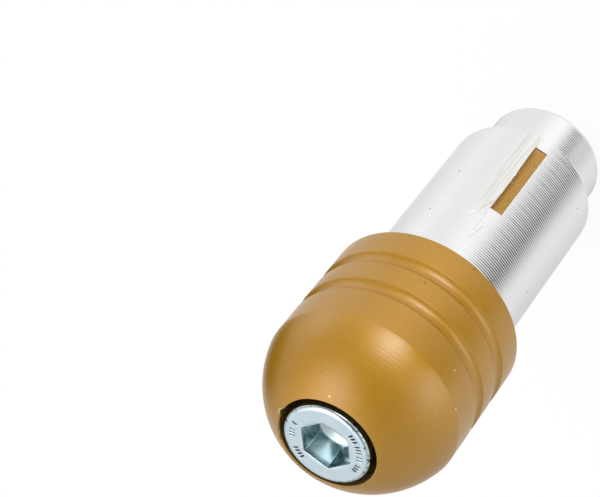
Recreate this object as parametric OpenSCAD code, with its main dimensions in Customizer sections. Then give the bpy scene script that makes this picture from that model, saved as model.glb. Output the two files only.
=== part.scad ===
// Bar end weight for a tubular handlebar: a domed, anodised weight with a hollow spigot, a slotted sleeve
// that fills the bar's bore, and a taper nut that a socket screw draws into the spigot to spread it.
// Lengths are in millimetres. The axis is Z, the shoulder that meets the bar's end is at Z = 0 and the dome
// is at the top.

/* [Weight] */
// Outer diameter of the weight
body_d = 22.4; // [20:0.1:26]
// Length of the straight part, from the shoulder up to the dome
body_len = 14.5; // [12.5:0.1:20]
// Angle, in degrees, between the straight part and the dome where they meet
dome_break = 12; // [4:1:24]
// Round on the outer edge of the shoulder
shoulder_round = 0.1; // [0.05:0.05:0.6]
// Round on the rim of the counterbore
rim_round = 0.15; // [0.05:0.05:0.4]

/* [Grooves] */
// Number of grooves round the straight part
groove_n = 2; // [1:1:2]
// Height of the first groove's lower edge above the shoulder
groove_first = 3.7; // [1.5:0.1:4.5]
// Distance from one groove to the next
groove_pitch = 4.8; // [3:0.1:5.5]
// Width of a groove at the surface
groove_w = 1.9; // [1.2:0.1:2.4]
// Depth of a groove, whose bottom is round as the tool's tip leaves it
groove_depth = 0.4; // [0.2:0.05:0.8]
// Round on a groove's two edges
groove_edge_round = 0.1; // [0.05:0.05:0.3]

/* [Spigot] */
// Diameter of the spigot that carries the sleeve
spigot_d = 13.9; // [13.2:0.1:15]
// Length of the spigot below the shoulder
spigot_len = 25.5; // [20:0.1:35]
// Width of the slits that let the spigot spread
slit_w = 1.2; // [0.6:0.1:2]
// Length of the slits
slit_len = 15; // [10:0.5:18]
// Number of slits
slit_n = 2; // [2:1:4]

/* [Sleeve] */
// Outer diameter of the sleeve, for the bar's bore
sleeve_d = 17.5; // [16.5:0.1:19.5]
// Play between the spigot and the sleeve, on the radius
sleeve_fit = 0.05; // [0.02:0.01:0.15]
// Width of the sleeve's slots
slot_w = 1.5; // [0.8:0.1:3]
// Length of the sleeve's slots, which are open at the far end
slot_len = 14.4; // [8:0.1:18]
// Number of slots
slot_n = 2; // [1:1:4]
// Width of the deburring bevel on one side of each slot's mouth
mouth_bevel = 0.3; // [0.1:0.05:0.6]
// Length of that bevel
mouth_bevel_len = 2; // [0.5:0.1:4]
// Round on the sleeve's outer edges
sleeve_round = 0.15; // [0.05:0.05:0.5]

/* [Taper nut] */
// Outer diameter of the nut's nose
nose_d = 14; // [13:0.1:15]
// Length of the nose beyond the spigot
nose_len = 7.25; // [6:0.05:12]
// Round on the nose's far edge
nose_round = 0.6; // [0.2:0.1:1.2]
// Diameter of the taper where it leaves the nose
taper_d = 11; // [10:0.1:11.6]
// Length of the taper inside the spigot
taper_len = 8; // [5:0.5:9]
// Half angle of the taper, in degrees
taper_angle = 10; // [5:0.5:12]
// Play round the taper, square to the axis
taper_fit = 0.1; // [0.05:0.01:0.2]
// Gap between the spigot's end and the nose
nose_gap = 0.05; // [0.02:0.01:0.3]

/* [Socket screw] */
// Thread diameter
screw_d = 6; // [5:0.5:6]
// Diameter of the head
head_d = 10; // [9:0.1:11]
// Height of the head
head_h = 6; // [5:0.1:7]
// Round on the head's top edge
head_round = 0.5; // [0.2:0.1:0.9]
// How far the head stands above the counterbore's rim
head_proud = 0.3; // [-1:0.1:1.5]
// Gap round the head in the counterbore
head_gap = 0.6; // [0.3:0.05:0.9]
// Width across the flats of the hex socket
socket_af = 5; // [4:0.5:5]
// Depth of the socket's flats
socket_depth = 3.2; // [2:0.1:4]
// Bevel along the edges of the socket's mouth
socket_bevel = 0.2; // [0.1:0.05:0.4]
// Angle at which the screw has come to rest, in degrees
screw_turn = -3; // [-30:1:30]
// Play round the screw's shank in the weight
shank_gap = 0.25; // [0.15:0.05:0.5]
// Play round the screw in the nut, in place of the thread's flanks
thread_gap = 0.05; // [0.03:0.01:0.1]
// How far the screw's tip stops short of the nose's far face
tip_recess = 4.2; // [1:0.1:6]
// Bevel at the screw's tip
tip_bevel = 0.8; // [0.3:0.1:1.2]

/* [Hidden] */
$fn = 96;
eps = 0.01;
past = 1;

body_r = body_d / 2;
dome_r = body_r / cos(dome_break);
dome_z = body_len - dome_r * sin(dome_break);
cbore_r = head_d / 2 + head_gap;
rim_z = dome_z + sqrt(pow(dome_r, 2) - pow(cbore_r, 2));
head_top = rim_z + head_proud;
seat_z = head_top - head_h;

groove_tool_r = (pow(groove_w / 2, 2) + pow(groove_depth, 2)) / (2 * groove_depth);

spigot_r = spigot_d / 2;
bore_r = screw_d / 2 + shank_gap;
spigot_round = 0.2;

sleeve_r = sleeve_d / 2;
sleeve_bore_r = spigot_r + sleeve_fit;
slot_angle = -90;
slit_angle = slot_angle + 180 / slot_n;

nose_r = nose_d / 2;
nose_top = -spigot_len - nose_gap;
nose_end = nose_top - nose_len;
nose_step_round = 0.1;
taper_r = taper_d / 2;
taper_tip_r = taper_r - taper_len * tan(taper_angle);
mouth_r = taper_r + taper_fit;
tap_r = screw_d / 2 + thread_gap;
tap_bevel = 0.4;

head_r = head_d / 2;
shank_r = screw_d / 2;
tip_z = nose_end + tip_recess;
socket_r = socket_af / 2 / cos(30);
drill_angle = 31;
head_foot_round = 0.2;

function unit(v) = v / norm(v);

// What lies between the corner p and a round of radius r that touches the corner's two sides, which run
// towards a and b: taken off it rounds an outer corner, and added it fills an inner one
module corner(p, a, b, r) {
    side_a = unit(a - p);
    side_b = unit(b - p);
    middle = unit(side_a + side_b);
    half_angle = acos(side_a * side_b) / 2;
    centre = p + middle * r / sin(half_angle);
    run = r / tan(half_angle);
    difference() {
        polygon([p - middle * eps, p + side_a * run, centre, p + side_b * run]);
        translate(centre) circle(r);
    }
}

// One groove's cutter, in section, with its lower edge at height z. It has the tool's round tip, and next to
// it, what the round on each edge takes off
module groove_cut(z) {
    tool = [body_r - groove_depth + groove_tool_r, z + groove_w / 2];
    run = sqrt(pow(groove_tool_r + groove_edge_round, 2)
               - pow(groove_tool_r - groove_depth + groove_edge_round, 2));
    translate(tool) circle(groove_tool_r);
    for (side = [-1, 1]) {
        centre = [body_r - groove_edge_round, tool[1] + side * run];
        touch = tool + unit(centre - tool) * groove_tool_r;
        difference() {
            polygon([centre, [body_r + past, centre[1]], [body_r + past, touch[1]], touch]);
            translate(centre) circle(groove_edge_round);
        }
    }
}

// What a round takes off the counterbore's rim, touching the bore's wall and the dome
module rim_cut() {
    dome_centre = [0, dome_z];
    centre = [cbore_r + rim_round, dome_z + sqrt(pow(dome_r - rim_round, 2) - pow(cbore_r + rim_round, 2))];
    outward = unit(centre - dome_centre);
    touch = dome_centre + outward * dome_r;
    difference() {
        polygon([centre,
                 [cbore_r - eps, centre[1]],
                 [cbore_r - eps, rim_z + past],
                 touch + outward * past,
                 touch]);
        translate(centre) circle(rim_round);
    }
}

// Outside of the weight: the straight part, the dome above it and the spigot below
module weight_outline() {
    square([body_r, body_len]);
    intersection() {
        translate([0, dome_z]) circle(dome_r);
        translate([0, body_len - eps]) square([body_r, dome_r]);
    }
    translate([0, -spigot_len]) square([spigot_r, spigot_len + eps]);
}

// The way through: counterbore, bore and the tapered mouth
module weight_hollow() {
    translate([-past, seat_z]) square([cbore_r + past, dome_r]);
    translate([-past, -spigot_len - past]) square([bore_r + past, seat_z + spigot_len + 2 * past]);
    mouth_top_r = taper_tip_r + taper_fit;
    polygon([[0, -spigot_len - past],
             [mouth_r, -spigot_len - past],
             [mouth_r, -spigot_len],
             [mouth_top_r, -spigot_len + taper_len],
             [0, -spigot_len + taper_len]]);
}

module weight_section() {
    difference() {
        weight_outline();
        weight_hollow();
        rim_cut();
        for (i = [0 : 1 : groove_n - 1]) groove_cut(groove_first + i * groove_pitch);
        corner([body_r, 0], [0, 0], [body_r, body_len], shoulder_round);
        corner([spigot_r, -spigot_len], [0, -spigot_len], [spigot_r, 0], spigot_round);
    }
}

module end_weight() {
    color("#BE8F48")
    difference() {
        rotate_extrude() weight_section();
        for (i = [0 : 1 : slit_n - 1])
            rotate(slit_angle + i * 360 / slit_n)
                translate([0, -slit_w / 2, -spigot_len - past])
                    cube([spigot_r + past, slit_w, slit_len + past]);
    }
}

// One slot's cutter, pointing along X, with the bevel on one side of its mouth
module slot_cut() {
    translate([0, -slot_w / 2, -spigot_len - past]) cube([sleeve_r + past, slot_w, slot_len + past]);
    rotate([90, 0, 90])
        linear_extrude(sleeve_r + past)
            polygon([[0, -spigot_len - past],
                     [-slot_w / 2 - mouth_bevel, -spigot_len - past],
                     [-slot_w / 2 - mouth_bevel, -spigot_len],
                     [-slot_w / 2, -spigot_len + mouth_bevel_len],
                     [0, -spigot_len + mouth_bevel_len]]);
}

module sleeve() {
    color("#D9DBDC")
    difference() {
        rotate_extrude()
            difference() {
                translate([sleeve_bore_r, -spigot_len]) square([sleeve_r - sleeve_bore_r, spigot_len]);
                corner([sleeve_r, 0], [0, 0], [sleeve_r, -spigot_len], sleeve_round);
                corner([sleeve_r, -spigot_len], [0, -spigot_len], [sleeve_r, 0], sleeve_round);
            }
        for (i = [0 : 1 : slot_n - 1]) rotate(slot_angle + i * 360 / slot_n) slot_cut();
    }
}

module taper_nut() {
    color("#D2D4D6")
    rotate_extrude()
        difference() {
            union() {
                translate([0, nose_end]) square([nose_r, nose_len]);
                polygon([[0, nose_top - eps],
                         [taper_r, nose_top - eps],
                         [taper_r, nose_top],
                         [taper_tip_r, nose_top + taper_len],
                         [0, nose_top + taper_len]]);
            }
            translate([-past, nose_end - past]) square([tap_r + past, nose_len + taper_len + 2 * past]);
            corner([nose_r, nose_end], [0, nose_end], [nose_r, nose_top], nose_round);
            corner([nose_r, nose_top], [0, nose_top], [nose_r, nose_end], nose_step_round);
            polygon([[0, nose_end - eps],
                     [tap_r + tap_bevel + eps, nose_end - eps],
                     [tap_r, nose_end + tap_bevel],
                     [0, nose_end + tap_bevel]]);
        }
}

module screw_section() {
    difference() {
        union() {
            translate([0, seat_z]) square([head_r, head_h]);
            translate([0, tip_z]) square([shank_r, seat_z - tip_z + eps]);
        }
        corner([head_r, head_top], [0, head_top], [head_r, seat_z], head_round);
        corner([head_r, seat_z], [0, seat_z], [head_r, head_top], head_foot_round);
        polygon([[shank_r - tip_bevel - past, tip_z - past],
                 [shank_r + past, tip_z - past],
                 [shank_r + past, tip_z + tip_bevel + past]]);
    }
}

// Two opposite sides of the bevel round the socket's mouth, with its lower edge at height 0
module mouth_sides() {
    half = socket_af / 2;
    half_at_face = half + socket_bevel;
    rotate([90, 0, 0])
        linear_extrude(4 * socket_r, center = true)
            polygon([[-half, 0], [half, 0], [half_at_face, socket_bevel], [-half_at_face, socket_bevel]]);
}

// The hex socket: flats, the drilled point below them and the bevelled mouth
module socket_cut() {
    socket_floor = head_top - socket_depth;
    point_h = socket_af / 2 * tan(drill_angle);
    translate([0, 0, socket_floor]) cylinder(h = socket_depth + past, r = socket_r, $fn = 6);
    translate([0, 0, socket_floor - point_h]) cylinder(h = point_h + eps, r1 = 0, r2 = socket_af / 2);
    translate([0, 0, head_top - socket_bevel])
        intersection() {
            rotate(30) mouth_sides();
            rotate(90) mouth_sides();
            rotate(150) mouth_sides();
        }
}

module socket_screw() {
    color("#C3CCD2")
    rotate(screw_turn)
        difference() {
            rotate_extrude() screw_section();
            socket_cut();
        }
}

end_weight();
sleeve();
taper_nut();
socket_screw();
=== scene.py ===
# %% [markdown]
# # Bar end weight, dressed for the render
# A bar end weight is a turned lump of metal that closes the open end of a handlebar and calms its
# vibration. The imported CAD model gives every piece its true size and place. This script keeps that frame
# and adds what a drawing lacks: the anodised skin, the marks of the lathe, the threads and the light.

# %% Load the frame
import math

import bpy
import numpy as np
from mathutils import Matrix, Vector


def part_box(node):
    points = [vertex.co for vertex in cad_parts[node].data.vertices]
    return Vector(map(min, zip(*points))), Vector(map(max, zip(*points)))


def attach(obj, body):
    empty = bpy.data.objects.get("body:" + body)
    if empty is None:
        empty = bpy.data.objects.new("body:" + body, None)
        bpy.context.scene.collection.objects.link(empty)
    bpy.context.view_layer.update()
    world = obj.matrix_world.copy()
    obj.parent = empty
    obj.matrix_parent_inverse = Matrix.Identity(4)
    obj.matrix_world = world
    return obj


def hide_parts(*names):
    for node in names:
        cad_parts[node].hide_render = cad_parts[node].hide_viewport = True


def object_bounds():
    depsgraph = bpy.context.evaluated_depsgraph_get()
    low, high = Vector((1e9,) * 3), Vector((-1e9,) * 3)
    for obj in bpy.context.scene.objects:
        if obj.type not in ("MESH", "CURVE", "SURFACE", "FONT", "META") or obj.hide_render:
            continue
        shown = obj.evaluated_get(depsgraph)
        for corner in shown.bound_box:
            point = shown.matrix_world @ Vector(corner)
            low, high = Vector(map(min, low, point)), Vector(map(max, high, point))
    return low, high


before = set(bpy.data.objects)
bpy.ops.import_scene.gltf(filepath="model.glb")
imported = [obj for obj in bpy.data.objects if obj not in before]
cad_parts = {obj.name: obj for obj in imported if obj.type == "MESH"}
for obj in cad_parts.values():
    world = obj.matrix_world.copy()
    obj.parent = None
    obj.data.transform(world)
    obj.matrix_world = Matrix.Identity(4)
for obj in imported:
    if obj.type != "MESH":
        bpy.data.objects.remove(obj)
cad_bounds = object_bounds()

# %% [markdown]
# ## Units
# Blender works in metres and a turned part is drawn in millimetres, so one constant turns one into the
# other. The sizes come from the boxes of the CAD nodes, so a changed drawing changes the scene too.

# %% Millimetres and the main sizes
MM = 0.001


def size_of(node):
    """Radius and heights of a turned node, from its box."""
    low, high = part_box(node)
    return {"radius": (high[0] - low[0]) / 2, "low": low[2], "high": high[2]}


weight = size_of("end_weight")
sleeve = size_of("sleeve")
nose = size_of("taper_nut")
screw = size_of("socket_screw")
for name, size in (("weight", weight), ("sleeve", sleeve), ("nose", nose), ("screw", screw)):
    print(name, {key: round(value / MM, 3) for key, value in size.items()})

# %% [markdown]
# ## Camera
# The picture was taken from above the dome with the camera turned, so the part lies across it from the
# lower left to the upper right. In the part's own frame, where the dome points up, that is a camera about
# 43 degrees above the shoulder, looking at one slot of the sleeve and rolled by 140 degrees. The place, the
# aim and the lens were fitted to the outlines in the picture, so the perspective is the same.

# %% Camera
CAMERA_AZIMUTH = math.radians(-9.0)
CAMERA_ELEVATION = math.radians(42.54)
CAMERA_ROLL = math.radians(-139.5)
CAMERA_AIM = Vector((14.79, -2.34, 3.97)) * MM
CAMERA_DISTANCE = 233.3 * MM
LENS = 130.5
SENSOR = 36.0
CLIP_START = 10 * MM


def direction(azimuth, elevation):
    """Unit vector towards an azimuth and an elevation: azimuth 0 is -Y, and it grows towards +X."""
    flat = math.cos(elevation)
    return Vector((math.sin(azimuth) * flat, -math.cos(azimuth) * flat, math.sin(elevation)))


def turned_to(back, roll):
    """Rotation whose local Z runs along back, with local X level before it is rolled."""
    right = Vector((0, 0, 1)).cross(back).normalized()
    level = Matrix((right, back.cross(right), back)).transposed()
    return level @ Matrix.Rotation(roll, 3, "Z")


camera_back = direction(CAMERA_AZIMUTH, CAMERA_ELEVATION)
camera_data = bpy.data.cameras.new("camera")
camera_data.lens = LENS
camera_data.sensor_width = SENSOR
camera_data.clip_start = CLIP_START
camera = bpy.data.objects.new("camera", camera_data)
bpy.context.scene.collection.objects.link(camera)
camera.matrix_world = (
    Matrix.Translation(CAMERA_AIM + camera_back * CAMERA_DISTANCE)
    @ turned_to(camera_back, CAMERA_ROLL).to_4x4()
)
bpy.context.scene.camera = camera
bpy.context.scene.view_settings.view_transform = "Standard"
print("camera at", [round(value / MM, 1) for value in camera.location])

# %% [markdown]
# ## Materials
# Each material is a small node tree. One helper adds a node with its settings and its links, and another
# turns a colour written as on the web into the linear numbers that Blender mixes light with. Two more make
# the masks that most finishes here need: the distance from the axis, and small round spots.

# %% Material helpers


def colour(hex_text):
    """Linear RGBA from an sRGB hex colour."""
    def linear(value):
        return value / 12.92 if value <= 0.04045 else ((value + 0.055) / 1.055) ** 2.4
    channels = [int(hex_text[i:i + 2], 16) / 255 for i in (1, 3, 5)]
    return tuple(linear(value) for value in channels) + (1.0,)


def add(tree, kind, settings=None, **inputs):
    """Adds a node of a kind, such as Math. An input is a plain value, or the output that feeds it."""
    node = tree.nodes.new("ShaderNode" + kind)
    for key, value in (settings or {}).items():
        setattr(node, key, value)
    for key, value in inputs.items():
        socket = node.inputs[int(key[1:])] if key[1:].isdigit() else node.inputs[key.replace("_", " ")]
        if isinstance(value, bpy.types.NodeSocket):
            tree.links.new(value, socket)
        else:
            socket.default_value = value
    return node


def new_material(name):
    """A material with an empty node tree, and that tree."""
    material = bpy.data.materials.new(name)
    material.use_nodes = True
    material.node_tree.nodes.clear()
    return material, material.node_tree


def finish_material(tree, shader):
    add(tree, "OutputMaterial", Surface=shader.outputs[0])


def from_axis(tree, place):
    """How far a place is from the axis that the part was turned about."""
    flat = add(tree, "VectorMath", {"operation": "MULTIPLY"}, _0=place, _1=(1.0, 1.0, 0.0)).outputs[0]
    return add(tree, "VectorMath", {"operation": "LENGTH"}, _0=flat).outputs["Value"]


SPECK_R = 0.11


def specks(tree, place, spots):
    """A mask that is 1 on small round spots. Each spot is x, y and z in millimetres."""
    mask = 0.0
    for spot in spots:
        away = add(tree, "VectorMath", {"operation": "DISTANCE"},
                   _0=place, _1=tuple(value * MM for value in spot)).outputs["Value"]
        near = add(tree, "Math", {"operation": "LESS_THAN"}, _0=away, _1=SPECK_R * MM).outputs[0]
        mask = add(tree, "Math", {"operation": "MAXIMUM"}, _0=near, _1=mask).outputs[0]
    return mask


# %% [markdown]
# ### Gold anodised aluminium
# The weight was turned, made matt with fine beads and dyed gold in an anodising bath. What the eye meets is
# two surfaces: the rough metal, seen through the dyed oxide, gives the even gold, and the smooth top of the
# clear oxide gives the whitish gleam and the pale edges. So the shader is a rough metal under a coat. The
# coat has the refractive index of aluminium oxide, and a bump carries the grain and the lathe's rings. The
# spigot and the shoulder's face were not blasted and stay smooth, and the bore took less of the dye. A few
# small spots are pale, and those on the knocked rim are a painted highlight of its bent lip. A few pits are
# painted dark, as painted shade.

# %% Sizes in the gold's pattern
# Bead marks are about 0.05 mm wide and the rings of a fine feed about 0.1 mm apart. Both are drawn about
# three times as coarse, so that they show.
BEAD_GRAIN = 0.17 * MM
FINE_FEED = 0.3 * MM
GRAIN_DEPTH = 0.014 * MM
DYE_CLOUD = 4 * MM
BLASTED_ABOVE = 0.2 * MM
COUNTERBORE_R = 5.6
# Places of small pale spots and of pits, in millimetres. The last five pale spots follow the knocked rim and
# are a painted highlight on its lip. The pits are painted dark, as painted shade.
LIP_GLINT_AND_PALE_SPECKS = ((-6.46, -9.15, 12.15), (2.24, -5.91, 21.67), (-8.79, -6.94, 14.4), (9.89, -5.26, 4.79),
         (5.83, -0.28, 21.98), (5.93, -0.1, 21.93), (5.99, 0.08, 21.89), (5.97, 0.25, 21.9),
         (5.88, 0.42, 21.95))
PIT_SHADE_SPOTS = ((-2.03, -11.01, 0.43), (1.23, -11.13, 6.2), (-11.03, -1.26, 14.93))
print("pale_specks", len(LIP_GLINT_AND_PALE_SPECKS), "pit_shade_spots", len(PIT_SHADE_SPOTS))

# %% Gold anodised aluminium
anodised_gold, tree = new_material("aluminium_anodised_gold")
place = add(tree, "TexCoord").outputs["Object"]
height = add(tree, "SeparateXYZ", Vector=place).outputs["Z"]
bored = add(tree, "MapRange", Value=from_axis(tree, place), From_Min=(COUNTERBORE_R + 0.03) * MM,
            From_Max=(COUNTERBORE_R + 0.01) * MM).outputs[0]
beaded = add(tree, "MapRange", Value=height, From_Min=0.0, From_Max=BLASTED_ABOVE).outputs[0]
grain = add(tree, "TexNoise", Vector=place, Scale=1 / BEAD_GRAIN, Detail=2.0).outputs[0]
cloud = add(tree, "TexNoise", Vector=place, Scale=1 / DYE_CLOUD, Detail=3.0).outputs[0]
rings = add(tree, "TexNoise", {"noise_dimensions": "1D"},
            W=height, Scale=1 / FINE_FEED, Detail=1.0).outputs[0]
dye = add(tree, "Mix", {"data_type": "RGBA"}, _0=cloud, _6=colour("#BA8A1A"), _7=colour("#C2911D"))
fleck = add(tree, "Math", {"operation": "SUBTRACT"}, _0=grain, _1=0.5).outputs[0]
fleck = add(tree, "Math", {"operation": "MULTIPLY"}, _0=fleck, _1=beaded).outputs[0]
fleck = add(tree, "Math", {"operation": "MULTIPLY_ADD"}, _0=fleck, _1=0.4, _2=1.0).outputs[0]
tint = add(tree, "VectorMath", {"operation": "SCALE"}, _0=dye.outputs[2], Scale=fleck).outputs[0]
tint = add(tree, "Mix", {"data_type": "RGBA"}, _0=bored, _6=tint, _7=colour("#A48858")).outputs[2]
# Pale spots: specks, and on the knocked rim's lip a painted highlight
lip_glint_and_speck_mask = specks(tree, place, LIP_GLINT_AND_PALE_SPECKS)
tint = add(tree, "Mix", {"data_type": "RGBA"}, _0=lip_glint_and_speck_mask, _6=tint, _7=colour("#EAD9BC")).outputs[2]
# Dark spots: painted shade of small pits
pit_shade_mask = specks(tree, place, PIT_SHADE_SPOTS)
tint = add(tree, "Mix", {"data_type": "RGBA"}, _0=pit_shade_mask, _6=tint, _7=colour("#6B4A16")).outputs[2]
satin = add(tree, "MapRange", Value=grain, To_Min=0.6, To_Max=0.7)
relief = add(tree, "Math", {"operation": "MULTIPLY_ADD"}, _0=rings, _1=0.9, _2=grain).outputs[0]
relief = add(tree, "Math", {"operation": "MULTIPLY"}, _0=relief, _1=beaded).outputs[0]
bump = add(tree, "Bump", Strength=1.0, Distance=GRAIN_DEPTH, Height=relief)
shader = add(
    tree, "BsdfPrincipled",
    Base_Color=tint, Metallic=1.0, Roughness=satin.outputs[0], Normal=bump.outputs[0],
    Coat_Weight=0.85, Coat_Roughness=0.2, Coat_IOR=1.65, Coat_Normal=bump.outputs[0],
)
finish_material(tree, shader)
print("material", anodised_gold.name, len(tree.nodes), "nodes")

# %% [markdown]
# ### Coarsely turned aluminium
# The sleeve is bare aluminium, bright from the tool's edge. Its main marks, the ridges of the feed, are in
# the mesh, so the material adds only what lies on them: the tool's fine tearing, and beside the slot a strip
# that was rubbed lengthwise, with a few long and slightly curved scratches. Scratches are drawn on the
# unrolled surface, where a place is a distance round the sleeve and a height. Inside the slot and the bore
# the metal is sawn and matt. A few specks of dirt lie on the outside.

# %% Where the sleeve is marked
SLEEVE_R = sleeve["radius"] / MM
# The rubbed strip lies between two angles in degrees and below a height in millimetres. Its borders are soft.
RUBBED_FROM = -86.0
RUBBED_TO = -73.0
RUBBED_BELOW = -9.0
SOFT_SIDE = 1.5
SOFT_TOP = 3.0
# Each scratch is an arc through three places, each an angle in degrees and a height in millimetres
SCRATCHES = (((-83.5, -12.3), (-78.4, -9.7), (-74.7, -8.6)),
             ((-84.4, -12.6), (-80.0, -10.2), (-76.5, -9.0)),
             ((-84.7, -10.5), (-85.3, -8.6), (-85.2, -6.7)),
             ((-89.6, -8.2), (-87.9, -6.6), (-85.5, -5.2)))
# Specks of dirt, each an angle in degrees and a height in millimetres
DIRT = ((-44.9, -15.95), (-23.9, -14.96), (-45.8, -8.25), (-151.7, -8.11), (-142.3, -22.6))
# Sizes of the pattern: a streak's width and length in millimetres, the tool's tearing, half of a scratch's
# width, and how deep all of these are
STREAK = (0.2, 9.0)
TEARING = 0.3 * MM
SCRATCH_HALF = 0.12 * MM
MARK_RELIEF = 0.02 * MM


def arc_through(places):
    """Centre and radius, in millimetres on the unrolled sleeve, of the circle through three places."""
    p, q, r = (np.array((math.radians(degrees) * SLEEVE_R, height)) for degrees, height in places)
    rows = 2 * np.array([q - p, r - p])
    centre = np.linalg.solve(rows, [q @ q - p @ p, r @ r - p @ p])
    return centre, float(np.linalg.norm(centre - p))


def on_sleeve(degrees, height):
    """A place on the outside of the sleeve, in millimetres."""
    return SLEEVE_R * math.cos(math.radians(degrees)), SLEEVE_R * math.sin(math.radians(degrees)), height


print("scratches", len(SCRATCHES), "specks of dirt", len(DIRT))

# %% The unrolled sleeve and its rubbed strip
aluminium_coarse, tree = new_material("aluminium_turned_coarse")
place = add(tree, "TexCoord").outputs["Object"]
axes = add(tree, "SeparateXYZ", Vector=place).outputs
angle = add(tree, "Math", {"operation": "ARCTAN2"}, _0=axes["Y"], _1=axes["X"]).outputs[0]
around = add(tree, "Math", {"operation": "MULTIPLY"}, _0=angle, _1=SLEEVE_R * MM).outputs[0]
unrolled = add(tree, "CombineXYZ", X=around, Y=axes["Z"]).outputs[0]
# One degree, as a length round the sleeve
degree = math.radians(1) * SLEEVE_R * MM
strip = 1.0
for across, border, inside in ((around, RUBBED_FROM * degree, (RUBBED_FROM + SOFT_SIDE) * degree),
                               (around, RUBBED_TO * degree, (RUBBED_TO - SOFT_SIDE) * degree),
                               (axes["Z"], RUBBED_BELOW * MM, (RUBBED_BELOW - SOFT_TOP) * MM)):
    part = add(tree, "MapRange", Value=across, From_Min=border, From_Max=inside).outputs[0]
    strip = add(tree, "Math", {"operation": "MULTIPLY"}, _0=part, _1=strip).outputs[0]
long_way = add(tree, "VectorMath", {"operation": "MULTIPLY"},
               _0=unrolled, _1=(1 / (STREAK[0] * MM), 1 / (STREAK[1] * MM), 0.0)).outputs[0]
streaks = add(tree, "TexNoise", {"noise_dimensions": "2D"},
              Vector=long_way, Scale=1.0, Detail=2.0).outputs[0]
tearing = add(tree, "TexNoise", Vector=place, Scale=1 / TEARING, Detail=3.0).outputs[0]
print("one degree round the sleeve is", round(degree / MM, 3), "mm")

# %% The sleeve's relief, with its scratches
relief = add(tree, "Math", {"operation": "MULTIPLY"}, _0=streaks, _1=strip).outputs[0]
relief = add(tree, "Math", {"operation": "MULTIPLY_ADD"}, _0=tearing, _1=0.01, _2=relief).outputs[0]
# A scratch is a groove along its circle, kept only between its own ends in height and in angle
for places in SCRATCHES:
    centre, radius = arc_through(places)
    away = add(tree, "VectorMath", {"operation": "DISTANCE"},
               _0=unrolled, _1=(centre[0] * MM, centre[1] * MM, 0.0)).outputs["Value"]
    beside = add(tree, "Math", {"operation": "SUBTRACT"}, _0=away, _1=radius * MM).outputs[0]
    beside = add(tree, "Math", {"operation": "ABSOLUTE"}, _0=beside).outputs[0]
    cut = add(tree, "MapRange", Value=beside, From_Min=SCRATCH_HALF, From_Max=0.0).outputs[0]
    for across, ends, unit in ((axes["Z"], (places[0][1], places[2][1]), MM),
                               (around, (places[0][0], places[2][0]), degree)):
        within = add(tree, "Math", {"operation": "COMPARE"}, _0=across,
                     _1=sum(ends) / 2 * unit, _2=max(abs(ends[1] - ends[0]), 1) / 2 * unit).outputs[0]
        cut = add(tree, "Math", {"operation": "MULTIPLY"}, _0=cut, _1=within).outputs[0]
    relief = add(tree, "Math", {"operation": "MULTIPLY_ADD"}, _0=cut, _1=-1.0, _2=relief).outputs[0]
bump = add(tree, "Bump", Strength=1.0, Distance=MARK_RELIEF, Height=relief)
print("nodes so far", len(tree.nodes))

# %% Coarsely turned aluminium
lines = add(tree, "MapRange", Value=streaks, From_Min=0.4, From_Max=0.6).outputs[0]
rubbed = add(tree, "Math", {"operation": "MULTIPLY"}, _0=lines, _1=strip).outputs[0]
bare = add(tree, "Mix", {"data_type": "RGBA"},
           _0=rubbed, _6=colour("#F6F6F6"), _7=colour("#E6E5DD")).outputs[2]
dusty = specks(tree, place, [on_sleeve(degrees, height) for degrees, height in DIRT])
bare = add(tree, "Mix", {"data_type": "RGBA"}, _0=dusty, _6=bare, _7=colour("#8A8782")).outputs[2]
sawn = add(tree, "MapRange", Value=from_axis(tree, place), From_Min=(SLEEVE_R - 0.03) * MM,
           From_Max=(SLEEVE_R - 0.1) * MM).outputs[0]
matt = add(tree, "MapRange", Value=strip, To_Min=0.12, To_Max=0.22).outputs[0]
matt = add(tree, "Math", {"operation": "MULTIPLY_ADD"}, _0=sawn, _1=0.4, _2=matt)
shader = add(
    tree, "BsdfPrincipled",
    Base_Color=bare, Metallic=1.0, Roughness=matt.outputs[0], Normal=bump.outputs[0],
)
finish_material(tree, shader)
print("material", aluminium_coarse.name, len(tree.nodes), "nodes")

# %% [markdown]
# ### Turned aluminium of the nose
# The nut's nose is the same metal, turned on its own with a blunter tool that chattered. Chatter is in the
# mesh, and the material gives it the slightly duller skin of a blunt tool, uneven along each ring. A blunt
# tool also tears the metal into tiny saw teeth that all lean one way. They are too fine to draw, so the
# material leans the normal by four degrees instead.

# %% Turned aluminium of the nose
BLUNT_TEARING = 0.8 * MM
BLUNT_RELIEF = 0.001 * MM
# Tangent of the saw teeth's lean
SAW_TOOTH_LEAN = 0.075
aluminium_nose, tree = new_material("aluminium_turned_blunt")
place = add(tree, "TexCoord").outputs["Object"]
along = add(tree, "VectorMath", {"operation": "MULTIPLY"}, _0=place, _1=(1.0, 1.0, 4.0)).outputs[0]
tearing = add(tree, "TexNoise", Vector=along, Scale=1 / BLUNT_TEARING, Detail=3.0).outputs[0]
matt = add(tree, "MapRange", Value=tearing, To_Min=0.16, To_Max=0.22)
bright = add(tree, "Mix", {"data_type": "RGBA"},
             _0=tearing, _6=colour("#F1F1EF"), _7=colour("#F7F7F7"))
facing = add(tree, "NewGeometry").outputs["Normal"]
lean = add(tree, "VectorMath", {"operation": "ADD"}, _0=facing, _1=(0.0, 0.0, -SAW_TOOTH_LEAN)).outputs[0]
lean = add(tree, "VectorMath", {"operation": "NORMALIZE"}, _0=lean).outputs[0]
bump = add(tree, "Bump", Strength=1.0, Distance=BLUNT_RELIEF, Height=tearing, Normal=lean)
shader = add(
    tree, "BsdfPrincipled",
    Base_Color=bright.outputs[2], Metallic=1.0, Roughness=matt.outputs[0], Normal=bump.outputs[0],
)
finish_material(tree, shader)
print("material", aluminium_nose.name, len(tree.nodes), "nodes")
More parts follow.
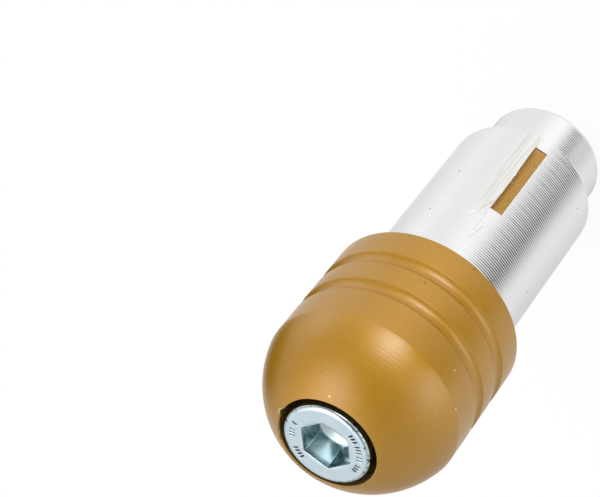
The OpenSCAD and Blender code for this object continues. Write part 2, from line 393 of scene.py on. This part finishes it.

# %% [markdown]
# ### Zinc plated steel
# The screw is steel, plated with zinc and dipped for a clear blue finish. The plate is thin and glossy and
# lies a little unevenly, so the finish is a pale blue metal whose gloss and tint drift over a millimetre or
# two, with a soft waviness that breaks up what it mirrors. The socket's walls carry less of the plate and
# are duller, and the head's rim is bruised dark in places. The pressed marks are painted dark, as painted
# shade in their hollows. Masks by height and by distance from the axis say where each of these lies.

# %% Where the screw's finish changes
# Borders of the masks, in millimetres: a mask is nothing at its first value and full at its second
SUNK_BORDER = (0.015, 0.06)
SOCKET_BORDER = (3.35, 3.25)
RIM_BORDER = (4.55, 4.75)
PLATE_DRIFT = 1.6 * MM
PLATE_WAVES = 0.7 * MM
PLATE_RELIEF = 0.01 * MM
BRUISES = 0.55 * MM
print("socket inside", SOCKET_BORDER, "rim outside", RIM_BORDER)

# %% Zinc plated steel
zinc_plated, tree = new_material("steel_zinc_plated_blue")
place = add(tree, "TexCoord").outputs["Object"]
away = from_axis(tree, place)
height = add(tree, "SeparateXYZ", Vector=place).outputs["Z"]
sunk = add(tree, "MapRange", Value=height, From_Min=screw["high"] - SUNK_BORDER[0] * MM,
           From_Max=screw["high"] - SUNK_BORDER[1] * MM).outputs[0]
inner, outer = [add(tree, "MapRange", Value=away, From_Min=border[0] * MM, From_Max=border[1] * MM).outputs[0]
                for border in (SOCKET_BORDER, RIM_BORDER)]
socket = add(tree, "Math", {"operation": "MULTIPLY"}, _0=sunk, _1=inner).outputs[0]
drift = add(tree, "TexNoise", Vector=place, Scale=1 / PLATE_DRIFT, Detail=3.0).outputs[0]
waves = add(tree, "TexNoise", Vector=place, Scale=1 / PLATE_WAVES, Detail=2.0).outputs[0]
smooth = add(tree, "Math", {"operation": "SUBTRACT"}, _0=1.0, _1=socket).outputs[0]
relief = add(tree, "Math", {"operation": "MULTIPLY"}, _0=waves, _1=smooth).outputs[0]
bruise = add(tree, "TexNoise", Vector=place, Scale=1 / BRUISES, Detail=4.0).outputs[0]
bruise = add(tree, "MapRange", Value=bruise, From_Min=0.55, From_Max=0.68).outputs[0]
bruise = add(tree, "Math", {"operation": "MULTIPLY"}, _0=bruise, _1=outer).outputs[0]
# The pressed marks, sunk between socket and rim, get painted shade; the rim's noise patches are dark bruises
mark = add(tree, "Math", {"operation": "SUBTRACT", "use_clamp": True}, _0=sunk, _1=inner).outputs[0]
mark = add(tree, "Math", {"operation": "SUBTRACT", "use_clamp": True}, _0=mark, _1=outer).outputs[0]
mark_shade_and_bruise = add(tree, "Math", {"operation": "MAXIMUM"}, _0=mark, _1=bruise).outputs[0]
plate = add(tree, "Mix", {"data_type": "RGBA"},
            _0=drift, _6=colour("#C3D9E6"), _7=colour("#D9E4E7")).outputs[2]
plate = add(tree, "Mix", {"data_type": "RGBA"}, _0=socket, _6=plate, _7=colour("#C2D3D6")).outputs[2]
# Paints the marks' shade and the rim's bruises in one dark colour
plate = add(tree, "Mix", {"data_type": "RGBA"}, _0=mark_shade_and_bruise, _6=plate, _7=colour("#4A5052")).outputs[2]
gloss = add(tree, "MapRange", Value=drift, To_Min=0.06, To_Max=0.14).outputs[0]
gloss = add(tree, "Math", {"operation": "MULTIPLY_ADD"}, _0=socket, _1=0.09, _2=gloss).outputs[0]
bump = add(tree, "Bump", Strength=1.0, Distance=PLATE_RELIEF, Height=relief)
shader = add(
    tree, "BsdfPrincipled",
    Base_Color=plate, Metallic=1.0, Roughness=gloss, Normal=bump.outputs[0],
)
finish_material(tree, shader)
print("material", zinc_plated.name, len(tree.nodes), "nodes")

# %% [markdown]
# ## Turning a shape
# Almost every surface here was made on a lathe, so one function does the lathe's work: it turns a closed
# outline of (radius, height) points about the axis. Written in steps of the angle rather than with a Screw
# modifier, it can also saw slots with flat walls from below and let each spot move a little, which gives
# real tool marks and nicks. Outlines run up the outside, inwards over the top and down the bore.

# %% Outlines


def rounded(corners, steps):
    """An outline from corners given as (radius, height) or (radius, height, round), in millimetres."""
    outline = []
    for i, corner in enumerate(corners):
        here = Vector(corner[:2])
        if len(corner) == 2:
            outline.append(tuple(here))
            continue
        before = (Vector(corners[i - 1][:2]) - here).normalized()
        after = (Vector(corners[(i + 1) % len(corners)][:2]) - here).normalized()
        half = before.angle(after) / 2
        centre = here + (before + after).normalized() * corner[2] / math.sin(half)
        start = here + before * corner[2] / math.tan(half) - centre
        end = here + after * corner[2] / math.tan(half) - centre
        first = math.atan2(start.y, start.x)
        sweep = (math.atan2(end.y, end.x) - first + math.pi) % (2 * math.pi) - math.pi
        for step in range(steps + 1):
            at = first + sweep * step / steps
            outline.append((centre.x + corner[2] * math.cos(at), centre.y + corner[2] * math.sin(at)))
    return outline


def spaced(start, end, count):
    """Points along a straight stretch, without its last one."""
    return [tuple(Vector(start).lerp(Vector(end), i / count)) for i in range(count)]


def arc(centre, radius, start, end, steps):
    """Points along an arc. Its angles are in radians."""
    angles = [start + (end - start) * i / steps for i in range(steps + 1)]
    return [(centre[0] + radius * math.cos(angle), centre[1] + radius * math.sin(angle)) for angle in angles]


print("a quarter circle:", [tuple(round(v, 2) for v in p) for p in arc((0, 0), 1, 0, math.pi / 2, 2)])

# %% The lathe
SOFT_EDGE = 32
# A part without slots is one wall, and the top of its slots lies far below it
NO_SLOT = {"centres": [0.0], "top": -1e9, "half": lambda side, height, slot: 0 * height}
COLUMNS_IN_SLOT = 4


def build_mesh(name, points, faces, sharp=SOFT_EDGE):
    """A smooth mesh whose edges are sharp above an angle in degrees, from points in millimetres."""
    mesh = bpy.data.meshes.new(name)
    mesh.from_pydata([Vector(point) * MM for point in points], [], faces)
    mesh.validate()
    mesh.shade_smooth()
    mesh.set_sharp_from_angle(angle=math.radians(sharp))
    piece = bpy.data.objects.new(name, mesh)
    bpy.context.scene.collection.objects.link(piece)
    print(name, len(mesh.vertices), "points", sum(len(face) - 2 for face in faces), "triangles")
    return piece


def column_angles(outline, columns, slots, in_slot):
    """Angle of each column at each row: a few columns lie across each slot, the rest on the wall between."""
    parts = len(slots["centres"])
    wide = columns // parts

    def edge(slot, side):
        centre = math.radians(slots["centres"][slot % parts]) + 2 * math.pi * (slot // parts)
        return centre + side * np.arcsin(slots["half"](side, outline[:, 1], slot % parts) / outline[:, 0])

    angles = []
    for slot in range(parts):
        left, right, next_left = edge(slot, -1), edge(slot, 1), edge(slot + 1, -1)
        angles += [left + (right - left) * step / in_slot for step in range(in_slot)]
        angles += [right + (next_left - right) * step / wide for step in range(wide)]
    return np.array(angles).T


def slot_walls(sawn, around, parts):
    """Faces of each slot's two flat walls, and of its mouth, over the rows that the saw reached."""
    rows = len(sawn)
    first = [row for row in range(rows) if sawn[row] and not sawn[row - 1]][0]
    run = [(first + i) % rows for i in range(int(sawn.sum()))]
    faces = []
    for left in range(0, around, around // parts):
        right = left + COLUMNS_IN_SLOT
        faces.append(tuple(row * around + left for row in reversed(run)))
        faces.append(tuple(row * around + right for row in run))
        for t in range(left, right):
            faces.append((run[-1] * around + t, run[0] * around + t,
                          run[0] * around + t + 1, run[-1] * around + t + 1))
    return faces


def turn(name, outline, columns, shape, sharp, slots=NO_SLOT):
    """Turns a closed outline about the axis, with sawn slots and with small local changes of shape."""
    outline = np.array(outline)
    parts = len(slots["centres"])
    in_slot = 0 if slots is NO_SLOT else COLUMNS_IN_SLOT
    angle = column_angles(outline, columns, slots, in_slot)
    rows, around = angle.shape
    radius = np.repeat(outline[:, :1], around, 1)
    height = np.repeat(outline[:, 1:], around, 1)
    radius, height = shape(radius, height, angle)
    points = np.stack([radius * np.cos(angle), radius * np.sin(angle), height], 2).reshape(-1, 3)
    sawn = outline[:, 1] <= slots["top"] + 1e-6
    faces = []
    for row in range(rows):
        after = (row + 1) % rows
        for t in range(around):
            if sawn[row] and sawn[after] and t % (around // parts) < in_slot:
                continue
            t2 = (t + 1) % around
            faces.append((row * around + t, row * around + t2, after * around + t2, after * around + t))
    if in_slot:
        faces += slot_walls(sawn, around, parts)
    return build_mesh(name, points.tolist(), faces, sharp)


print("columns across a slot", COLUMNS_IN_SLOT)

# %% [markdown]
# ## The weight
# The real weight is one bar-turned piece of aluminium: a dome, a straight part with two tool-cut grooves,
# and a hollow spigot that is slit so that it can spread. Its outline repeats the drawing's. The one thing
# added is the rim of the counterbore, which has been knocked in two places. The nicks are real dents in the
# mesh, so they catch the light from any side.

# %% Sizes of the weight
BODY_R = weight["radius"] / MM
SPIGOT_R = 6.95
SPIGOT_END = weight["low"] / MM
SPIGOT_ROUND = 0.2
RIM_R = COUNTERBORE_R
RIM_ROUND = 0.15
RIM_HEIGHT = weight["high"] / MM
BORE_R = 3.25
# The spigot's mouth opens towards its end, to take the nut's cone
MOUTH_LENGTH = 8
MOUTH_ROOT_R = 4.19
MOUTH_END_R = 5.6
SCREW_LENGTH = 45.0
SEAT = screw["low"] / MM + SCREW_LENGTH
DOME_TOP = 14.5
DOME_BREAK = math.radians(12)
DOME_R = BODY_R / math.cos(DOME_BREAK)
DOME_CENTRE = DOME_TOP - DOME_R * math.sin(DOME_BREAK)
SHOULDER_ROUND = 0.1
GROOVES = (3.7, 8.5)
GROOVE_W = 1.9
GROOVE_DEPTH = 0.4
GROOVE_EDGE = 0.1
TOOL_R = ((GROOVE_W / 2) ** 2 + GROOVE_DEPTH ** 2) / (2 * GROOVE_DEPTH)
SLIT_TOP = SPIGOT_END + 15
SLIT_HALF = 0.6
# Each nick is its place and its half width in degrees, and its depth in millimetres
RIM_NICKS = ((1.0, 5.0, 0.3), (39.0, 3.5, 0.15))
NICK_SPREAD = 0.35
NICK_HEIGHT = 1.2
NICK_DROP = 0.3
print("dome radius", round(DOME_R, 2), "groove tool radius", round(TOOL_R, 2), "seat at", round(SEAT, 2))

# %% Outline of the weight


def dome_point(angle):
    """A point of the dome's outline, at an angle above its widest circle."""
    return DOME_R * math.cos(angle), DOME_CENTRE + DOME_R * math.sin(angle)


def groove(low):
    """A groove as its round tool leaves it, between two small rounds."""
    middle = low + GROOVE_W / 2
    reach = TOOL_R - GROOVE_DEPTH + GROOVE_EDGE
    run = math.sqrt((TOOL_R + GROOVE_EDGE) ** 2 - reach ** 2)
    lean = math.atan2(run, reach)
    inset = BODY_R - GROOVE_EDGE
    return (arc((inset, middle - run), GROOVE_EDGE, 0, lean, 5)
            + arc((inset + reach, middle), TOOL_R, math.pi + lean, math.pi - lean, 10)[1:-1]
            + arc((inset, middle + run), GROOVE_EDGE, -lean, 0, 5))


corners = [(SPIGOT_R, SPIGOT_END, SPIGOT_ROUND), (SPIGOT_R, SLIT_TOP), (SPIGOT_R, 0)]
corners += [(BODY_R, 0, SHOULDER_ROUND)]
for low in GROOVES:
    corners += groove(low)
rim_angle = math.acos(RIM_R / DOME_R)
corners += [dome_point(DOME_BREAK + (rim_angle - DOME_BREAK) * i / 60) for i in range(60)]
corners += [(RIM_R, dome_point(rim_angle)[1], RIM_ROUND)]
# Rows down the counterbore lie close together where the nicks are
corners += [(RIM_R, RIM_HEIGHT - drop) for drop in (0.35, 0.55, 0.8, 1.1, 1.5, 2.5)]
corners += [(RIM_R, SEAT), (BORE_R, SEAT), (BORE_R, SLIT_TOP), (BORE_R, SPIGOT_END + MOUTH_LENGTH)]
corners += [(MOUTH_ROOT_R, SPIGOT_END + MOUTH_LENGTH), (MOUTH_END_R, SPIGOT_END)]
weight_outline = rounded(corners, 9)
print("rows", len(weight_outline))

# %% Weight


def knock_rim(radius, height, angle):
    """Pushes the counterbore's rim outwards and down in two places."""
    for degrees, width, depth in RIM_NICKS:
        away = (np.degrees(angle) - degrees + 180) % 360 - 180
        across = np.clip(1 - np.abs(away) / width, 0, 1)
        near = np.exp(-((radius - RIM_R) / NICK_SPREAD) ** 2)
        near = near * np.clip((height - RIM_HEIGHT + NICK_HEIGHT) / NICK_HEIGHT, 0, 1)
        push = depth * np.sqrt(across) * near
        radius = radius + push
        height = height - push * NICK_DROP
    return radius, height


slits = {"centres": [0.0, 180.0], "top": SLIT_TOP, "half": lambda side, height, slot: SLIT_HALF + 0 * height}
end_weight = turn("weight_anodised", weight_outline, columns=440, shape=knock_rim, sharp=10.5, slots=slits)
end_weight.data.materials.append(anodised_gold)
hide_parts("end_weight")
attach(end_weight, "weight")

# %% [markdown]
# ## The sleeve
# The sleeve is a plain tube, turned at a coarse feed: each turn of the lathe moved the tool by about a
# third of a millimetre and left a shallow ridge. Those ridges are what make bare metal look turned, because
# each one mirrors the room once more. They could be a bump texture, but here they are in the mesh, so the
# outline has them too. The slot was sawn afterwards, and its edges carry burrs and a filed corner.

# %% Feed marks
FEED = 0.35
ROWS_A_TURN = 4


def ridged_wall(radius, bottom, top):
    """Points up a turned wall, a few for each turn of the lathe, with one on each crest."""
    marks = range(math.floor(bottom / FEED), math.ceil(top / FEED))
    rows = [(mark + step / ROWS_A_TURN) * FEED for mark in marks for step in range(ROWS_A_TURN)]
    return [(radius, row) for row in rows if bottom + 0.02 < row < top - 0.02]


def feed_marks(height, depth, uneven):
    """How deep the round tool cut at each height: one scallop for each turn of the lathe."""
    # Two waves that don't keep step make each scallop a little deeper or shallower than the next
    number = np.floor(height / FEED + 1e-4)
    across = height / FEED - number
    share = uneven * np.sin(number * 12.9898) * np.cos(number * 4.1414)
    return depth * (1 + share) * (1 - (2 * across - 1) ** 2)


print("a scallop at its middle and crest", feed_marks(np.array([0.5, 1.0]) * FEED, 0.01, 0.0))

# %% Sizes of the sleeve
SLEEVE_BORE = 7.0
SLEEVE_END = sleeve["low"] / MM
END_ROUND = 0.149
SLOT_TOP = SLEEVE_END + 14.4
SLOT_HALF = 0.75
SLEEVE_FEED_DEPTH = 0.0118
RUBBED_DEPTH = 0.012
# The filed corner of the slot's mouth: how wide and how high it is
FILED = (0.3, 2.0)
# Burrs on one edge: height, size and half length. Below them the same edge is worn wider.
BURRS = ((-14.35, 0.06, 0.25), (-17.9, 0.04, 0.3))
WORN_BELOW = -18.5
print("slot from", round(SLEEVE_END, 2), "to", round(SLOT_TOP, 2))

# %% Marks on the sleeve


def tool_sleeve(radius, height, angle):
    """Cuts the feed marks into the outside, and rubs them down on the strip beside the slot."""
    degrees = (np.degrees(angle) + 180) % 360 - 180
    outside = np.clip((radius - SLEEVE_R + 0.1) / 0.05, 0, 1)
    rubbed = np.clip((degrees - RUBBED_FROM) / SOFT_SIDE, 0, 1)
    rubbed = rubbed * np.clip((RUBBED_TO - degrees) / SOFT_SIDE, 0, 1)
    rubbed = rubbed * np.clip((RUBBED_BELOW - height) / SOFT_TOP, 0, 1)
    cut = feed_marks(height, SLEEVE_FEED_DEPTH * (1 - 0.8 * rubbed), uneven=0.2) + RUBBED_DEPTH * rubbed
    return radius - outside * cut, height


def slot_edge(side, height, slot):
    """Half of the slot's width, with the filed corner of its mouth and the burrs along its edges."""
    half = SLOT_HALF + 0 * height
    if side < 0:
        half = half + FILED[0] * np.clip((SLEEVE_END + FILED[1] - height) / FILED[1], 0, 1)
    elif slot == 0:
        half = half + np.where(height < WORN_BELOW, 0.05 + 0.015 * (WORN_BELOW - height), 0)
        for middle, size, reach in BURRS:
            half = half - size * np.exp(-((height - middle) / reach) ** 2)
    # The saw left both edges slightly wavy
    return half + 0.006 * np.sin(height * 9.0 + slot) + 0.004 * np.sin(height * 23.0)


print("burrs", len(BURRS))

# %% Sleeve
lower = ridged_wall(SLEEVE_R, SLEEVE_END + 0.15, SLOT_TOP)
upper = ridged_wall(SLEEVE_R, SLOT_TOP, -0.15)
corners = [(SLEEVE_R, SLEEVE_END, END_ROUND)] + lower + [(SLEEVE_R, SLOT_TOP)] + upper
corners += [(SLEEVE_R, 0, END_ROUND), (SLEEVE_BORE, 0), (SLEEVE_BORE, SLOT_TOP)]
corners += spaced((SLEEVE_BORE, SLOT_TOP), (SLEEVE_BORE, SLEEVE_END), 12)[1:] + [(SLEEVE_BORE, SLEEVE_END)]
sleeve_outline = rounded(corners, 16)
slots = {"centres": [-90.0, 90.0], "top": SLOT_TOP, "half": slot_edge}
turned_sleeve = turn("sleeve_turned", sleeve_outline, columns=200, shape=tool_sleeve, sharp=6, slots=slots)
turned_sleeve.data.materials.append(aluminium_coarse)
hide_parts("sleeve")
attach(turned_sleeve, "weight")

# %% [markdown]
# ## The thread
# The screw and the nut share one thread, M6 with a pitch of 1 mm. Both surfaces follow the same helix, so
# one function gives the thread's radius at any angle and height, and the two pieces mesh without touching.
# A right-handed thread climbs as the angle grows.

# %% Thread
PITCH = 1.0
# Height of the sharp triangle that a 60 degree thread is cut from
TRIANGLE = 0.866 * PITCH
# Rows in a millimetre of thread
THREAD_ROWS = 12
# Root, crest and middle radius
SCREW_THREAD = (2.4, 2.95, 2.675)
NUT_THREAD = (2.5, 3.04, 2.735)


def thread(height, angle, radii):
    """Radius of a 60 degree thread, cut off at its root and its crest."""
    root, crest, middle = radii
    along = (height / PITCH - angle / (2 * math.pi)) % 1.0
    flank = 1 - 2 * np.abs(along - 0.5)
    return np.clip(middle + (flank - 0.5) * TRIANGLE, root, crest)


print("play between the threads", round(NUT_THREAD[2] - SCREW_THREAD[2], 3), "mm")

# %% [markdown]
# ## The nose
# The nut's nose was turned with the same coarse feed as the sleeve, then its far edge was rounded. Inside
# the spigot it carries the taper, and its bore is tapped for the screw.

# %% Sizes of the nose
NOSE_R = nose["radius"] / MM
NOSE_END = nose["low"] / MM
NOSE_TOP = SPIGOT_END - 0.05
NOSE_ROUND = 0.6
STEP_ROUND = 0.09
CONE_R = 5.5
CONE_LENGTH = 8
CONE_ANGLE = math.radians(10)
CONE_TOP = nose["high"] / MM
TAPPED_R = 3.05
ENTRY_R = 3.45
NOSE_FEED_DEPTH = 0.0125
# The chattering tool left so many waves in a turn, and each turn's waves start further round
CHATTER_WAVES = 45
CHATTER_SHIFT = 2.4
print("cone from radius", CONE_R, "to", round(CONE_R - CONE_LENGTH * math.tan(CONE_ANGLE), 2))

# %% Nose


def tool_nose(radius, height, angle):
    """Cuts the feed marks into the outside, and the thread and its wider entry into the bore."""
    outside = np.clip((radius - NOSE_R + 0.1) / 0.05, 0, 1) * (height < NOSE_TOP - 0.05)
    chatter = 1 + 0.2 * np.sin(angle * CHATTER_WAVES + np.floor(height / FEED) * CHATTER_SHIFT)
    radius = radius - outside * feed_marks(height, NOSE_FEED_DEPTH * chatter, uneven=0.03)
    inside = radius < TAPPED_R + 0.15
    tapped = thread(height, angle, NUT_THREAD)
    entry = ENTRY_R - (height - NOSE_END)
    return np.where(inside, np.maximum(tapped, entry), radius), height


corners = [(ENTRY_R, NOSE_END), (NOSE_R, NOSE_END, NOSE_ROUND)]
corners += ridged_wall(NOSE_R, NOSE_END + NOSE_ROUND + 0.1, NOSE_TOP - 0.1)
corners += [(NOSE_R, NOSE_TOP, STEP_ROUND), (CONE_R, NOSE_TOP)]
corners += [(CONE_R - CONE_LENGTH * math.tan(CONE_ANGLE), CONE_TOP)]
bore = spaced((TAPPED_R, CONE_TOP), (TAPPED_R, NOSE_END), round((CONE_TOP - NOSE_END) * THREAD_ROWS))
turned_nose = turn("nose_turned", rounded(corners, 16) + bore, columns=180, shape=tool_nose, sharp=7)
turned_nose.data.materials.append(aluminium_nose)
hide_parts("taper_nut")
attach(turned_nose, "nut")

# %% [markdown]
# ## The socket screw
# The screw was cold formed: the head was upset, the hex socket punched, and the thread rolled. Forming
# leaves soft edges, so the head's rim is well rounded and the hex has small fillets in its corners, which
# draw thin bright lines. The mesh is a stack of rings. Each ring has 360 points, and the rings in the
# socket follow a hexagon, not a circle.

# %% Sizes of the head
HEAD_R = screw["radius"] / MM
HEAD_TOP = screw["high"] / MM
NECK_R = 2.6
FOOT_ROUND = 0.2
CROWN_ROUND = 0.5
SOCKET_HALF = 2.5
SOCKET_FLOOR = HEAD_TOP - 3.2
SOCKET_FILLET = 0.15
SOCKET_DRAFT = 0.17
SOCKET_LIP = 0.05
# The punch drew the nearer edge of the mouth into a slight curve, and gave the floor the slope of a cone
MOUTH_DRAG = 0.08
CONE_SLOPE = math.tan(math.radians(31))
# How far the hex is turned in the picture, in degrees
SCREW_TURN = -3.0
print("socket", 2 * SOCKET_HALF, "mm across,", round(HEAD_TOP - SOCKET_FLOOR, 2), "mm deep")

# %% Rings of points
ring_angle = np.radians(np.arange(360) + SCREW_TURN)


def hexagon(angle, half):
    """Distance from the axis to the wall of a hex with filleted corners, one of them at angle 0."""
    from_corner = (angle + math.pi / 6) % (math.pi / 3) - math.pi / 6
    from_flat = angle % (math.pi / 3) - math.pi / 6
    flat = half / np.cos(from_flat)
    reach = (half - SOCKET_FILLET) / math.cos(math.pi / 6)
    inside = np.maximum(SOCKET_FILLET ** 2 - (reach * np.sin(from_corner)) ** 2, 0)
    fillet = reach * np.cos(from_corner) + np.sqrt(inside)
    edge = (half - SOCKET_FILLET) * math.tan(math.pi / 6)
    return np.where(np.abs(from_flat) > math.atan(edge / half), fillet, flat)


def ring(radius, height):
    """A ring of points about the axis. Its radius and height may change round it."""
    radius = np.broadcast_to(radius, ring_angle.shape)
    height = np.broadcast_to(height, ring_angle.shape)
    return np.stack([radius * np.cos(ring_angle), radius * np.sin(ring_angle), height], 1)


def stack(name, rings):
    """Joins rings of points, listed up the outside and then inwards, and closes both ends."""
    around = len(rings[0])
    points = np.concatenate(rings).tolist()
    faces = []
    for k in range(len(rings) - 1):
        for t in range(around):
            t2 = (t + 1) % around
            faces.append((k * around + t, k * around + t2, (k + 1) * around + t2, (k + 1) * around + t))
    for k, ends in ((0, rings[0]), (len(rings) - 1, rings[-1])):
        points.append(ends.mean(0).tolist())
        for t in range(around):
            pair = (k * around + t, k * around + (t + 1) % around)
            faces.append((len(points) - 1,) + (pair if k else pair[::-1]))
    return build_mesh(name, points, faces)


print("points in a ring", len(ring(1, 0)))

# %% [markdown]
# Screws of this kind carry marks pressed round the socket. These are plain radial bars, in even groups that
# spell nothing. They are pressed into the mesh, so their edges glint, and the zinc's material paints shade
# into them as well.

# %% Marks on the head
# Each group of bars is the angle of its first bar in degrees, and how many bars it has
BAR_GROUPS = ((-3.0, 1), (13.0, 3), (49.0, 4), (171.0, 3), (-164.0, 2), (-149.0, 3), (-128.0, 3))
BAR_STEP = math.radians(6)
BAR_INNER = 3.65
BAR_OUTER = 4.1
BAR_HALF = 0.08
MARK_DEPTH = 0.11


def pressed(x, y):
    """Depth of the pressed marks at a place on the head's face."""
    depth = 0 * x
    for first, count in BAR_GROUPS:
        for i in range(count):
            turned = math.radians(first) + i * BAR_STEP
            along = x * math.cos(turned) + y * math.sin(turned)
            across = -x * math.sin(turned) + y * math.cos(turned)
            away = np.hypot(across, along - np.clip(along, BAR_INNER, BAR_OUTER))
            depth = np.maximum(depth, MARK_DEPTH * np.clip(1.5 - away / BAR_HALF, 0, 1))
    return depth


print("bars", sum(count for first, count in BAR_GROUPS), "in", len(BAR_GROUPS), "groups")

# %% Outside of the head
KNURL_DEPTH = 0.07
KNURL_POINTS = 5
knurl = KNURL_DEPTH * np.abs((np.arange(360) % KNURL_POINTS) / (KNURL_POINTS / 2) - 1)
corners = [(NECK_R, SEAT), (HEAD_R, SEAT, FOOT_ROUND), (HEAD_R, HEAD_TOP, CROWN_ROUND), (NECK_R, HEAD_TOP)]
side = rounded(corners, 8)[1:-1]
foot, crown = side[:9], side[9:]
rings = [ring(NECK_R, SEAT)] + [ring(radius, height) for radius, height in foot]
rings += [ring(HEAD_R, SEAT + 0.8), ring(HEAD_R - knurl, SEAT + 1.0)]
rings += [ring(HEAD_R - knurl, HEAD_TOP - 1.3), ring(HEAD_R, HEAD_TOP - 1.1)]
rings += [ring(radius, height) for radius, height in crown]
print("rings up the outside", len(rings))

# %% Screw head
from_corner = ring_angle - math.radians(SCREW_TURN)
floor_edge = hexagon(from_corner, SOCKET_HALF)
wall_top = hexagon(from_corner, SOCKET_HALF + SOCKET_DRAFT)
along_flat = np.cos(3 * (from_corner % (math.pi / 3) - math.pi / 6)) ** 2
mouth = wall_top + SOCKET_LIP + MOUTH_DRAG * (1 - np.sin(ring_angle)) * along_flat
for radius in np.linspace(HEAD_R - CROWN_ROUND - 0.03, mouth.max() + 0.03, 28):
    flat = ring(radius, HEAD_TOP)
    flat[:, 2] -= pressed(flat[:, 0], flat[:, 1])
    rings.append(flat)
for turned in np.radians((0, 30, 60)):
    rings.append(ring(mouth - SOCKET_LIP * math.sin(turned), HEAD_TOP - SOCKET_LIP * (1 - math.cos(turned))))
lip = HEAD_TOP - SOCKET_LIP
for share in np.linspace(0, 1, 9):
    rings.append(ring(wall_top + (floor_edge - wall_top) * share ** 0.5, lip + (SOCKET_FLOOR - lip) * share))
rings.append(ring(np.minimum(floor_edge, SOCKET_HALF), SOCKET_FLOOR))
for share in (0.97, 0.7, 0.4, 0.1, 0.02):
    rings.append(ring(SOCKET_HALF * share, SOCKET_FLOOR - SOCKET_HALF * (1 - share) * CONE_SLOPE))
screw_head = stack("screw_head_zinc", rings)

# %% [markdown]
# The shank goes right through the weight into the nut. It is 45 mm long and threaded for the last 24 mm,
# as a standard screw of that length is.

# %% Screw shank
SHANK_TIP = screw["low"] / MM
THREAD_LENGTH = 24
THREAD_END = SHANK_TIP + THREAD_LENGTH
TIP_R = 2.2
ring_angle = np.radians(np.arange(0, 360, 5))
rings = [ring(0.3, SHANK_TIP)]
for height in np.arange(SHANK_TIP, THREAD_END, 1 / THREAD_ROWS):
    cut = thread(height, ring_angle, SCREW_THREAD)
    rings.append(ring(np.minimum(cut, TIP_R + height - SHANK_TIP), height))
# The thread runs out into the plain shank, which ends inside the head
shank_r = SCREW_THREAD[1]
rings += [ring(2.68, THREAD_END), ring(shank_r, THREAD_END + 0.4), ring(shank_r, SEAT + 0.5)]
screw_shank = stack("screw_shank_zinc", rings)

# %% Finish of the screw
for piece in (screw_head, screw_shank):
    piece.data.materials.append(zinc_plated)
    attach(piece, "screw")
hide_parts("socket_screw")

# %% [markdown]
# ## The floor
# The part stands on its nose on a plain pale floor. To the camera the floor is almost pure white light, so
# that the background is white as in the picture, with a little plain diffuse left in to keep the part's
# shadow. Reflections pass it by and see the studio below instead, which is as bright.

# %% Floor
FLOOR_SIZE = 4.0
material, tree = new_material("floor_pale")
path = add(tree, "LightPath")
plain = add(tree, "BsdfDiffuse", Color=colour("#FFFFFF"))
white = add(tree, "Emission", Color=colour("#FFFFFF"), Strength=1.0)
share = add(tree, "Math", {"operation": "MULTIPLY"}, _0=path.outputs["Is Camera Ray"], _1=0.9)
mixed = add(tree, "MixShader", _0=share.outputs[0], _1=plain.outputs[0], _2=white.outputs[0])
finish_material(tree, mixed)
bpy.ops.mesh.primitive_plane_add(size=FLOOR_SIZE, location=(0, 0, cad_bounds[0][2]))
floor = bpy.context.object
floor.name = "floor"
floor.data.materials.append(material)
floor.visible_glossy = False
floor.visible_shadow = False

# %% [markdown]
# ## The studio
# Every surface of this part is metal, and metal shows nothing but what it mirrors, so the light is a room
# and not a lamp: an even white tent with soft lamps and soft dark gaps in it. Each of them is one row of a
# table: where it lies, how wide it spreads and how much light it adds or takes. Its glow falls off as a
# smooth bell with the angle. Only the camera sees the tent as plain white.

# %% World
TENT_LEVEL = 0.962
# Name, azimuth, elevation and width in degrees, and strength, where the tent is about 1
SOFT_LIGHTS = (
    ("lamp over the sleeve", 3.5, -6.5, 10.5, 6.18),
    ("lamp over the dome", 51.6, 54.0, 15.0, 2.23),
    ("gap beside the sleeve", -49.2, -40.9, 12.1, -1.36),
    ("gap on the far right", 131.2, -15.4, 11.5, -1.5),
    ("panel on the left", -53.1, -8.3, 14.5, 1.6),
    ("open top", 36.0, 66.0, 43.4, -1.34),
    ("far panel", 116.5, 74.9, 23.7, 2.14),
    ("shaded back", 206.8, -14.8, 25.9, -0.41),
    ("panel on the right", 78.0, -15.4, 13.0, 0.95),
    ("low panel", 26.7, -25.6, 15.0, 0.21),
    ("gap above the nose", -25.3, -22.4, 10.8, -1.29),
    ("gap beside the nose", -35.2, -64.1, 6.3, -1.43),
    ("low panel on the left", -41.1, -52.3, 10.5, 1.02),
    ("low lamp before the nose", 10.0, -66.0, 9.0, 0.36),
    ("dim floor", 0.0, -90.0, 30.0, -0.07),
)
world = bpy.data.worlds.new("studio")
bpy.context.scene.world = world
world.use_nodes = True
tree = world.node_tree
tree.nodes.clear()
towards = add(tree, "TexCoord").outputs["Generated"]
light = TENT_LEVEL
for name, azimuth, elevation, width, strength in SOFT_LIGHTS:
    middle = direction(math.radians(azimuth), math.radians(elevation))
    spread = math.radians(width) ** 2
    facing = add(tree, "VectorMath", {"operation": "DOT_PRODUCT"}, _0=towards, _1=middle).outputs["Value"]
    fall = add(tree, "Math", {"operation": "MULTIPLY_ADD"}, _0=facing, _1=1 / spread, _2=-1 / spread)
    glow = add(tree, "Math", {"operation": "EXPONENT"}, _0=fall.outputs[0]).outputs[0]
    light = add(tree, "Math", {"operation": "MULTIPLY_ADD"}, _0=glow, _1=strength, _2=light).outputs[0]
light = add(tree, "Math", {"operation": "MAXIMUM"}, _0=light, _1=0.0).outputs[0]
seen = add(tree, "LightPath").outputs["Is Camera Ray"]
light = add(tree, "Mix", {"data_type": "FLOAT"}, _0=seen, _2=light, _3=1.0).outputs[0]
background = add(tree, "Background", Color=(1.0, 1.0, 1.0, 1.0), Strength=light)
add(tree, "OutputWorld", Surface=background.outputs[0])
print("soft lights", len(SOFT_LIGHTS))
